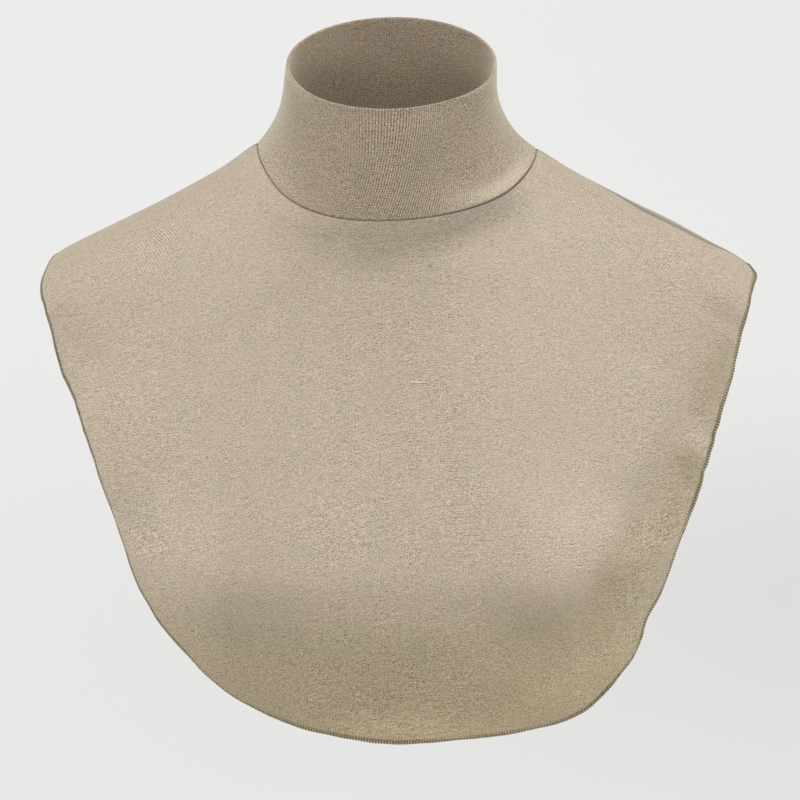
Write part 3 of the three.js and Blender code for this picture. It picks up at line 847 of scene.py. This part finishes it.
def rim_fold(outer, inner_top, radius, steps):
    """The half round at the top of the band, where the cloth turns over into its inner layer."""
    top = outer[:, -1]
    across_top = unit(top - inner_top)
    upward = unit(top - outer[:, -2])
    middle = (top + inner_top) / 2
    fold = []
    for i in range(1, steps + 1):
        angle = i / (steps + 1) * math.pi
        fold.append(middle + (across_top * math.cos(angle) + upward * math.sin(angle)) * radius)
    return np.stack(fold, 1)


around, section = band_grid()
columns, rows = section.shape[:2]
faces = []
for c in range(columns):
    beside = (c + 1) % columns
    for r in range(rows):
        after = (r + 1) % rows
        faces.append((c * rows + r, beside * rows + r, beside * rows + after, c * rows + after))
mesh = new_mesh("neck_band_jersey", section.reshape(-1, 3), faces)
run = np.cumsum(np.linalg.norm(np.diff(section, axis=1, append=section[:, :1]), axis=2), axis=1)

# How the columns of stitches lie. The foot takes this share of the cut length, and each millimetre of
# height a little less. In front they lean, by less with each millimetre of height.
BAND_CUT_LENGTH = 380.0
FOOT_SHARE = 1.12
FOOT_SHARE_LESS = 0.0037
COLUMN_LEAN = 0.4
COLUMN_LEAN_LESS = 0.0034
LEAN_REACH = 58
layer = mesh.uv_layers.new(name="cloth")
front_angle = (np.degrees(around) + 180) % 360 - 180
lean = bell(front_angle, 20, 42)
for polygon, (c, r) in zip(mesh.polygons, [(c, r) for c in range(columns) for r in range(rows)]):
    corners = [(c, r), (c + 1, r), (c + 1, r + 1), (c, r + 1)]
    for loop, (cc, rr) in zip(polygon.loop_indices, corners):
        v = run[cc % columns, rr - 1] if rr > 0 else 0.0
        up = min(v, LEAN_REACH)
        u = (cc / columns - (c >= columns / 2)) * BAND_CUT_LENGTH * (FOOT_SHARE - FOOT_SHARE_LESS * up)
        u -= (COLUMN_LEAN - COLUMN_LEAN_LESS * up) * up * lean[cc % columns]
        layer.data[loop].uv = (u * MM, v * MM)
point_value(mesh, "columns", np.repeat(0.28 + 0.72 * bell(front_angle, 6, 22), rows))

# Where the band is drawn tauter, and where it has painted shade or, below 0, a painted highlight, in the
# form of BAND_ROLLS
BAND_TAUT = [
    (54, 3.6, 25, 6.5, 1.3),
    (-58, 5, 20, 5, 0.35),
]
BAND_PAINTED_SHADE = [
    (57, 4.5, 15, 4.5, -0.2),
    (48, 12, 16, 5, 0.14),
]
RIM_ROW = len(NECK_STOPS) + BAND_ROWS - 1
angle = front_angle[:, None]
from_foot = run - run[:, :1]
high_part = soft_step(from_foot, 32, 6)
near_rim = bell(from_foot, from_foot[:, RIM_ROW:RIM_ROW + 1], 1.6)
taut = soft_patches(angle, from_foot, BAND_TAUT)
taut += (0.62 - 0.42 * high_part) * bell(angle, -88, 24) + 0.5 * bell(angle, 92, 22)
# Along the rim away from the front the band is painted paler: a painted highlight on the top of its fold.
taut += 0.4 * near_rim * np.clip((np.abs(angle) - 30) / 25, 0, 1)
point_value(mesh, "taut", np.clip(taut, 0, 1).ravel())
# Painted shade on the band: in the seam at its foot, darker on the right, at the places above, and along the
# front of the rim, with a painted highlight on the upper band a little left of the front.
shade = (0.12 + 0.63 * soft_step(angle, 25, 8)) * bell(from_foot, 0, 0.5)
shade += soft_patches(angle, from_foot, BAND_PAINTED_SHADE) - 0.16 * bell(angle, -12, 34) * high_part
shade += 0.22 * near_rim * bell(angle, 0, 60)
point_value(mesh, "painted_shade", shade.ravel())
drawn_smooth = 2.6 * bell(from_foot, 4, 7)
point_value(mesh, "grain", (1 + 0.3 * bell(angle, 52, 22) * (1 - drawn_smooth)).ravel())
band = in_scene("neck_band_jersey", mesh)
band_face = jersey(
    "band_jersey_face", (0.31, 0.238, 0.159), (0.455, 0.372, 0.27), contrast=0.95,
    grain=1.05, lines=0.3, rib=0.5, stitch=0.1, wale=1.26, drawn_wales=0.0, mottle=0.2, wander=0.9,
    sheen=0.95,
)
mesh.materials.append(band_face)
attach(band, "root")
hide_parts("neck_band")


# Hem overlock.
# The raw edge of both bibs is rolled and bound with close slanting stitches of olive-brown thread,
# which go round the whole outer edge and over the shoulder tips in one run.
STITCH_PITCH = 1.55
THREAD_RADIUS = 0.25
ROLL_WIDTH = 0.85
ROLL_HEIGHT = 0.5


def piece_noise(tree, scale, detail):
    """Noise through the whole of a piece."""
    place = tree.nodes.new("ShaderNodeTexCoord")
    noise = tree.nodes.new("ShaderNodeTexNoise")
    noise.inputs["Scale"].default_value = scale
    noise.inputs["Detail"].default_value = detail
    link(tree, place.outputs["Object"], noise.inputs["Vector"])
    return noise.outputs[0]


def thread_material(name, dark, light):
    """Spun sewing thread: fine twist along the thread and lighter and darker lengths."""
    finish, tree, shader = new_finish(name)
    fine = piece_noise(tree, 520.0, 2.0)
    broad = piece_noise(tree, 60.0, 1.0)
    tone = maths(tree, "ADD", maths(tree, "MULTIPLY", fine, 1.3), maths(tree, "MULTIPLY", broad, 0.7))
    tone = maths(tree, "SUBTRACT", tone, 0.5)
    mix = tree.nodes.new("ShaderNodeMix")
    mix.data_type = "RGBA"
    link(tree, tone, mix.inputs[0])
    mix.inputs[6].default_value = (*dark, 1)
    mix.inputs[7].default_value = (*light, 1)
    link(tree, mix.outputs[2], shader.inputs["Base Color"])
    bump = tree.nodes.new("ShaderNodeBump")
    bump.inputs["Strength"].default_value = 0.4
    bump.inputs["Distance"].default_value = 0.0002
    link(tree, fine, bump.inputs["Height"])
    link(tree, bump.outputs[0], shader.inputs["Normal"])
    shader.inputs["Roughness"].default_value = 0.6
    shader.inputs["Sheen Weight"].default_value = 0.2
    return finish


def tube(rings, closed):
    """Points and faces of a skin over rings of points, open with capped ends or closed on itself."""
    count, sides = rings.shape[:2]
    faces = []
    for i in range(count if closed else count - 1):
        here = i * sides
        after = (i + 1) % count * sides
        for k in range(sides):
            beside = (k + 1) % sides
            faces.append((here + k, here + beside, after + beside, after + k))
    if not closed:
        faces.append(tuple(range(sides))[::-1])
        faces.append(tuple((count - 1) * sides + k for k in range(sides)))
    return rings.reshape(-1, 3), faces


def circle_rings(centres, first, second, radius_first, radius_second, sides):
    """Rings of points round the centres, in the plane of two directions."""
    angles = (np.arange(sides) + 0.5) / sides * 2 * math.pi
    radius_first = np.broadcast_to(radius_first, len(centres))[:, None, None]
    radius_second = np.broadcast_to(radius_second, len(centres))[:, None, None]
    rings = centres[:, None] + first[:, None] * np.cos(angles)[None, :, None] * radius_first
    return rings + second[:, None] * np.sin(angles)[None, :, None] * radius_second


def mesh_piece(name, points, faces, material):
    """A piece of one material, from points in millimetres."""
    mesh = new_mesh(name, points, faces)
    mesh.materials.append(material)
    return in_scene(name, mesh)


def many_threads(name, skins, material):
    """One piece from the skins of many short threads, all with as many points."""
    faces = []
    for i, (points, skin_faces) in enumerate(skins):
        faces += [tuple(corner + i * len(points) for corner in face) for face in skin_faces]
    return mesh_piece(name, np.concatenate([points for points, skin_faces in skins]), faces, material)


def evenly(points, pitch):
    """Points at an even pitch round a closed line."""
    loop = np.concatenate([points, points[:1]])
    run = np.concatenate([[0], np.cumsum(np.linalg.norm(np.diff(loop, axis=0), axis=1))])
    count = int(round(run[-1] / pitch))
    at = np.arange(count) * run[-1] / count
    return np.stack([np.interp(at, run, loop[:, i]) for i in range(loop.shape[1])], 1)


def hem_line():
    """The middle of the cloth along the hem, with the outward direction and the normal there, and how wide
    the edging is: narrower on the left, and wider where it turns at the shoulder tips."""
    rows = []
    for side, sign, steps in (("front", 1, 700), ("back", -1, 560)):
        turns = closer_at_tips(np.linspace(-1, 1, steps, endpoint=False) * sign)
        x, s = hem(turns, side)
        s = s + seam_shift(x, s)
        neck_x, neck_s = neckline(turns, side)
        length = np.hypot(x - neck_x, s - neck_s)
        in_x = x - (x - neck_x) / length
        in_s = s - (s - neck_s) / length
        normal = body_normal(x, s)
        lift = hem_ripple(turns, np.zeros((steps, 1)), side)[:, 0]
        if side == "front":
            lift = lift + fold_height(x, s, FRONT_FOLDS + FRONT_CREASES)
        edge = body_point(x, s)
        outward = unit(edge - body_point(in_x, in_s))
        centre = edge + normal * (lift - CLOTH_THICKNESS / 2)[:, None]
        width = 1 - 0.3 * np.clip((-60 - x) / 80, 0, 1)
        width += 0.9 * bell(turns, -0.995, 0.01)
        width += 0.4 * bell(turns, 1, 0.07 if side == "front" else 0.02)
        rows.append(np.concatenate([centre, outward, normal, width[:, None]], 1))
    return np.concatenate(rows)


def stitch_places(line, pitch):
    """The middle of each stitch, the directions outward, along the normal and forward, and the width."""
    places = evenly(line, pitch)
    centre = places[:, :3]
    forward = unit(np.roll(centre, -1, 0) - np.roll(centre, 1, 0))
    return centre, unit(places[:, 3:6]), unit(places[:, 6:9]), forward, places[:, 9]


def bound_edge(name, line, pitch, roll, thread, flat, inset, slant, material, roll_material):
    """A roll of cloth along a line, bound with slanting turns of thread. roll has its half width and half
    height. thread is the radius of the thread, flat is how broad it lies, told by that radius, and inset
    draws in its ends."""
    centre, outward, upright, forward, width = stitch_places(line, pitch)
    outward = unit(outward - forward * (outward * forward).sum(1)[:, None])
    normal = unit(np.cross(outward, forward))
    normal = normal * np.sign((normal * upright).sum(1))[:, None]
    rings = circle_rings(centre, outward, normal, roll[0] * width, roll[1] * width**0.5, 8)
    core = mesh_piece(name + "_roll", *tube(rings, True), roll_material)
    turns = np.linspace(0, 1, 9)
    angle = math.pi * (0.86 - 1.72 * turns)
    reach = np.cos(angle) * (roll[0] + thread * 0.55) - inset * (np.abs(turns - 0.5) * 2) ** 3
    rise = np.sin(angle) * (roll[1] + thread * 0.55)
    lean = slant * pitch * np.cos(turns * math.pi)
    skins = []
    for c, o, n, f, w in zip(centre, outward, normal, forward, width):
        path = c + o * (w * reach)[:, None] + n * (w**0.5 * rise)[:, None] + f * lean[:, None]
        along_path = unit(np.gradient(path, axis=0))
        beside = unit(np.cross(along_path, unit(path - c + 1e-6)))
        away = np.cross(beside, along_path)
        skins.append(tube(circle_rings(path, away, beside, thread * 0.8, thread * flat, 4), False))
    return core, many_threads(name + "_stitches", skins, material)


edging_thread = thread_material("edging_thread", (0.27, 0.22, 0.12), (0.66, 0.56, 0.385))
# The rolled cloth under the stitches is painted dark brown: painted shade in the gaps between the turns of
# thread.
shaded_rolled_edge = thread_material("shaded_rolled_edge", (0.09, 0.075, 0.036), (0.22, 0.18, 0.1))
edge = hem_line()
hem_core, hem_threads = bound_edge(
    "hem", edge, STITCH_PITCH, (ROLL_WIDTH, ROLL_HEIGHT), THREAD_RADIUS,
    flat=1.55, inset=0.25, slant=0.42, material=edging_thread, roll_material=shaded_rolled_edge,
)

NEEDLE_SETBACK = 1.35
NEEDLE_LIFT = CLOTH_THICKNESS / 2 + 0.05


def needle_line(name, line, pitch, setback, lift, material):
    """The line of short straight stitches that holds the binding, on the cloth just inside the edge."""
    centre, outward, normal, forward, width = stitch_places(line, pitch)
    middle = centre - outward * setback * width[:, None] + normal * lift
    along_path = np.array([-0.5, -0.36, 0.36, 0.5]) * pitch * 0.72
    sink = np.array([0.3, 0.0, 0.0, 0.3])
    skins = []
    for m, o, n, f in zip(middle, outward, normal, forward):
        path = m + f * along_path[:, None] - n * sink[:, None]
        skins.append(tube(circle_rings(path, np.tile(n, (4, 1)), np.tile(o, (4, 1)), 0.16, 0.2, 4), False))
    return many_threads(name, skins, material)


# The needle thread is real, and its near-black colour is also painted shade in the needle holes.
needle_thread_and_hole_shade = thread_material("needle_thread_and_hole_shade", (0.09, 0.072, 0.036), (0.2, 0.16, 0.085))
hem_needle = needle_line(
    "hem_needle_stitches", edge, STITCH_PITCH, NEEDLE_SETBACK, NEEDLE_LIFT, needle_thread_and_hole_shade,
)
for piece in (hem_core, hem_threads, hem_needle):
    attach(piece, "root")
    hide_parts("hem_edging")


# Raised yarn.
# A thick place in the spun yarn that stands out as one short pale line on the front of the bib. It is
# knitted in with the rest, along a row of stitches.
YARN_STEPS = 13
yarn_across = np.linspace(7.0, 15.8, YARN_STEPS)
yarn_along = np.linspace(171.4, 170.9, YARN_STEPS)
yarn_normal = body_normal(yarn_across, yarn_along)
yarn_lift = resting_cloth(yarn_across, yarn_along) + 0.3
yarn_path = body_point(yarn_across, yarn_along) + yarn_normal * yarn_lift[:, None]
thick = np.sin(np.linspace(0.12, 1, YARN_STEPS) * math.pi * 0.95) ** 0.5
yarn_side = unit(np.cross(yarn_normal, unit(np.gradient(yarn_path, axis=0))))
points, faces = tube(circle_rings(yarn_path, yarn_normal, yarn_side, 0.2 * thick, 0.3 * thick, 6), False)
yarn_thread = thread_material("thick_yarn", (0.7, 0.58, 0.42), (0.95, 0.83, 0.65))
raised_yarn = mesh_piece("raised_yarn", points, faces, yarn_thread)
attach(raised_yarn, "root")
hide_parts("front_panel")


# Neckline seam.
# Inside, the band and the bibs are overlocked together. The trimmed allowance is a flat rib of cloth,
# bound with the same kind of stitches, and it lies against the bibs just under the neckline.
SEAM_PITCH = 2.4
SEAM_WIDTH = 4.6
SEAM_THICKNESS = 1.5
SEAM_SETBACK = 3.4
SEAM_DEPTH = 1.9


def seam_line(x, s, out_x, out_s):
    """The middle of an allowance under the cloth, with its outward direction and its normal."""
    normal = body_normal(x, s)
    outward = unit(body_point(x + out_x, s + out_s) - body_point(x, s))
    centre = body_point(x, s) - normal * SEAM_DEPTH
    return np.concatenate([centre, outward, normal, np.ones((len(x), 1))], 1)


seam_turns = np.linspace(-2, 2, 400, endpoint=False)
start_x, start_s = round_both(seam_turns, neckline)
end_x, end_s = round_both(seam_turns, hem)
length = np.hypot(end_x - start_x, end_s - start_s)
out_x = (end_x - start_x) / length
out_s = (end_s - start_s) / length
line = seam_line(start_x + out_x * SEAM_SETBACK, start_s + out_s * SEAM_SETBACK, out_x, out_s)
seam_thread = thread_material("seam_thread", (0.20, 0.155, 0.095), (0.46, 0.375, 0.25))
seam_core, seam_threads = bound_edge(
    "neckline_allowance", line, SEAM_PITCH, (SEAM_WIDTH / 2, SEAM_THICKNESS / 2), 0.2,
    flat=1.15, inset=0.0, slant=0.4, material=seam_thread, roll_material=bib_wrong,
)
for piece in (seam_core, seam_threads):
    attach(piece, "root")
    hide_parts("neck_seam")


# Shoulder seams.
# Front and back bib are overlocked together along each shoulder, with the allowance pressed to the back.
# Each runs from the neckline to the tip and shows outside only as a fine groove, which lies behind the
# ridge on the left and mostly forward of it on the right.
RIB_FROM_NECK = 6.5
RIB_FROM_TIP = 7
SHOULDERS = [("left", -1.0, "shoulder_seam_left"), ("right", 1.0, "shoulder_seam_right")]
for side_name, turn_end, node in SHOULDERS:
    start_x = neckline([turn_end], "back")[0][0]
    end_x = hem([turn_end], "back")[0][0]
    x = np.linspace(start_x + RIB_FROM_NECK * turn_end, end_x - RIB_FROM_TIP * turn_end, 120)
    s = seam_shift(x, np.full_like(x, -SEAM_SETBACK)) - SEAM_SETBACK
    line = seam_line(x, s, np.zeros_like(x), np.full_like(x, -1.0))
    centre, outward, normal = line[:, :3], line[:, 3:6], line[:, 6:9]
    points, faces = tube(circle_rings(centre, outward, normal, SEAM_WIDTH / 2, SEAM_THICKNESS / 2, 8), False)
    rib = mesh_piece(f"shoulder_allowance_{side_name}", points, faces, seam_thread)
    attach(rib, "root")
    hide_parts(node)


# Studio.
# A wide pale floor runs back under a plain pale surround. The strongest light comes from high in front, a
# little to the right, with three weaker ones from the sides and an even light from all round. Lengths here
# are in metres.
FLOOR_HEIGHT = -0.9
FLOOR_HALF_SIZE = 60.0
PAINTED_SHADOW_PLACE = (0.9, 2.9, 0.0)


def studio_floor():
    """The floor, painted a little paler far behind, with painted shade to the right and a soft round painted
    shadow.
    """
    mesh = bpy.data.meshes.new("studio_floor")
    half = FLOOR_HALF_SIZE
    corners = [(-half, -half), (half, -half), (half, half), (-half, half)]
    mesh.from_pydata([(x, y, FLOOR_HEIGHT) for x, y in corners], [], [(0, 1, 2, 3)])
    mesh.update()
    finish, tree, shader = new_finish("pale_floor")
    place = tree.nodes.new("ShaderNodeTexCoord")
    away = tree.nodes.new("ShaderNodeVectorMath")
    away.operation = "DISTANCE"
    away.inputs[1].default_value = PAINTED_SHADOW_PLACE
    link(tree, place.outputs["Object"], away.inputs[0])
    # Painted light on the floor: a soft round painted shadow round the place above, paler far behind, and
    # painted shade to the right.
    from_spot = maths(tree, "POWER", away.outputs["Value"], 2.0)
    painted_shadow = maths(tree, "POWER", math.e, maths(tree, "MULTIPLY", from_spot, -0.9))
    split = tree.nodes.new("ShaderNodeSeparateXYZ")
    link(tree, place.outputs["Object"], split.inputs[0])
    farther = maths(tree, "DIVIDE", split.outputs[1], 6.0)
    farther = maths(tree, "MINIMUM", maths(tree, "MAXIMUM", farther, 0.0), 1.0)
    tone = maths(tree, "MULTIPLY_ADD", farther, 0.04, 0.647)
    tone = maths(tree, "MULTIPLY_ADD", painted_shadow, -0.165, tone)
    to_right = maths(tree, "MAXIMUM", split.outputs[0], 0.0)
    tone = maths(tree, "MULTIPLY_ADD", to_right, -0.016, tone)
    tone = maths(tree, "MULTIPLY_ADD", piece_noise(tree, 0.25, 2.0), 0.01, tone)
    grey = tree.nodes.new("ShaderNodeCombineColor")
    link(tree, tone, grey.inputs[0])
    link(tree, maths(tree, "MULTIPLY", tone, 1.003), grey.inputs[1])
    link(tree, maths(tree, "MULTIPLY", tone, 0.98), grey.inputs[2])
    link(tree, grey.outputs[0], shader.inputs["Base Color"])
    shader.inputs["Roughness"].default_value = 0.9
    shader.inputs["Specular IOR Level"].default_value = 0.1
    mesh.materials.append(finish)
    return in_scene("studio_floor", mesh)


studio_floor()

world = bpy.data.worlds.new("surround")
bpy.context.scene.world = world
world.use_nodes = True
surround = world.node_tree.nodes["Background"]
surround.inputs["Color"].default_value = (0.98, 0.99, 1.0, 1)
surround.inputs["Strength"].default_value = 0.52

# How broad each light is, and then its name, azimuth, elevation and strength. Azimuth 0 is straight in
# front, and grows towards +X.
LIGHT_SPREAD = 45
LIGHTS = [
    ("key_light", 14, 68, 1.45),
    ("left_light", -55, 42, 0.28),
    ("right_side_light", 90, 28, 0.9),
    ("left_side_light", -95, 28, 0.62),
]
for name, azimuth, elevation, strength in LIGHTS:
    light = bpy.data.lights.new(name, "SUN")
    light.energy = strength
    light.angle = math.radians(LIGHT_SPREAD)
    lamp = in_scene(name, light)
    lamp.rotation_euler = (math.radians(90 - elevation), 0, math.radians(azimuth))

camera_data = bpy.data.cameras.new("camera")
camera_data.lens = 183.15
camera_data.sensor_width = 36
camera_data.clip_start = 0.05
camera_data.clip_end = 200
camera = in_scene("camera", camera_data)
camera.location = (0.00176, -2.2257, 0.2522)
camera.rotation_euler = (math.radians(80), 0, 0)
bpy.context.scene.camera = camera

bpy.context.scene.view_settings.view_transform = "Standard"
bpy.context.scene.view_settings.look = "None"
